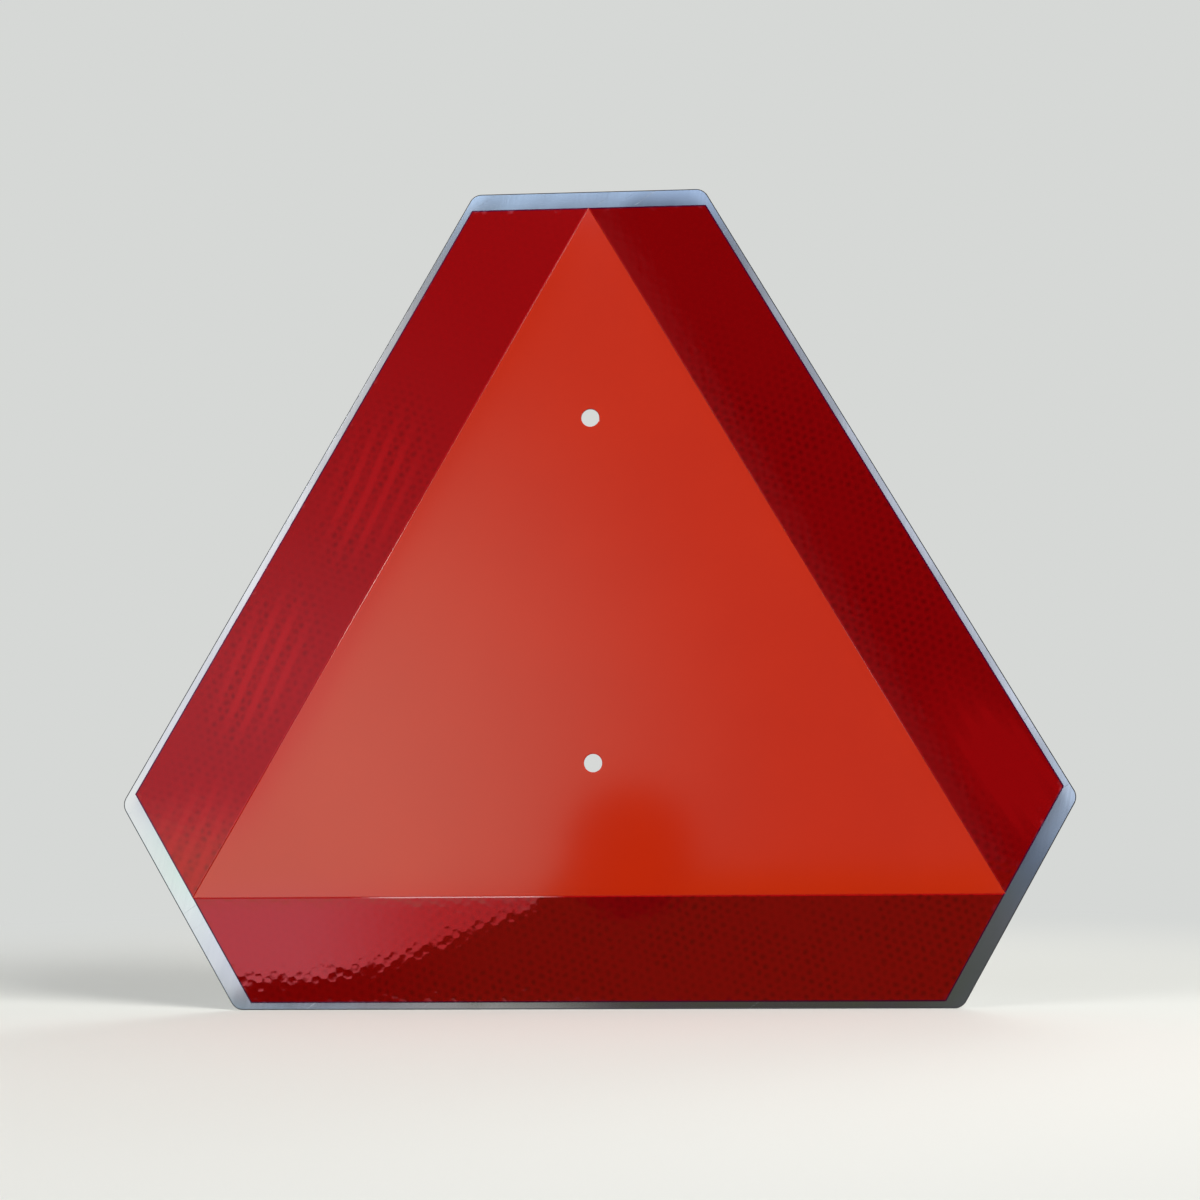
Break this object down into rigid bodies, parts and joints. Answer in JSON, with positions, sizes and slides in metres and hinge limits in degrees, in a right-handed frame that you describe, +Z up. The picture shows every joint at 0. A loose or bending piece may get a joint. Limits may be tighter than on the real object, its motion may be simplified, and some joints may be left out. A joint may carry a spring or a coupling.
{
  "type": "slow moving vehicle sign",
  "caption": "Flat triangular vehicle sign: bare aluminium sheet with cut-off corners, an orange-red fluorescent triangle, dark red reflective border strips and bolt holes.",
  "frame": {"origin": "midway between the two mounting holes, on the back face of the aluminium sheet", "axes": "+Y out of the back of the sign, along the bolts; +Z up, from the lower hole to the upper one; +X to the right as seen from the front"},
  "size_m": [0.4146, 0.0014, 0.3606],
  "materials": {
    "aluminium_sheet": "bright mill finish, with fine rolling grain",
    "fluorescent_film": "glossy fluorescent orange-red film",
    "red_sheeting": "glossy dark red retroreflective sheeting with a fine cell pattern"
  },
  "bodies": {
    "root": {"backing_plate": "aluminium_sheet", "fluorescent_triangle": "fluorescent_film", "left_border_strip": "red_sheeting", "right_border_strip": "red_sheeting", "bottom_border_strip": "red_sheeting"}
  },
  "joints": []
}
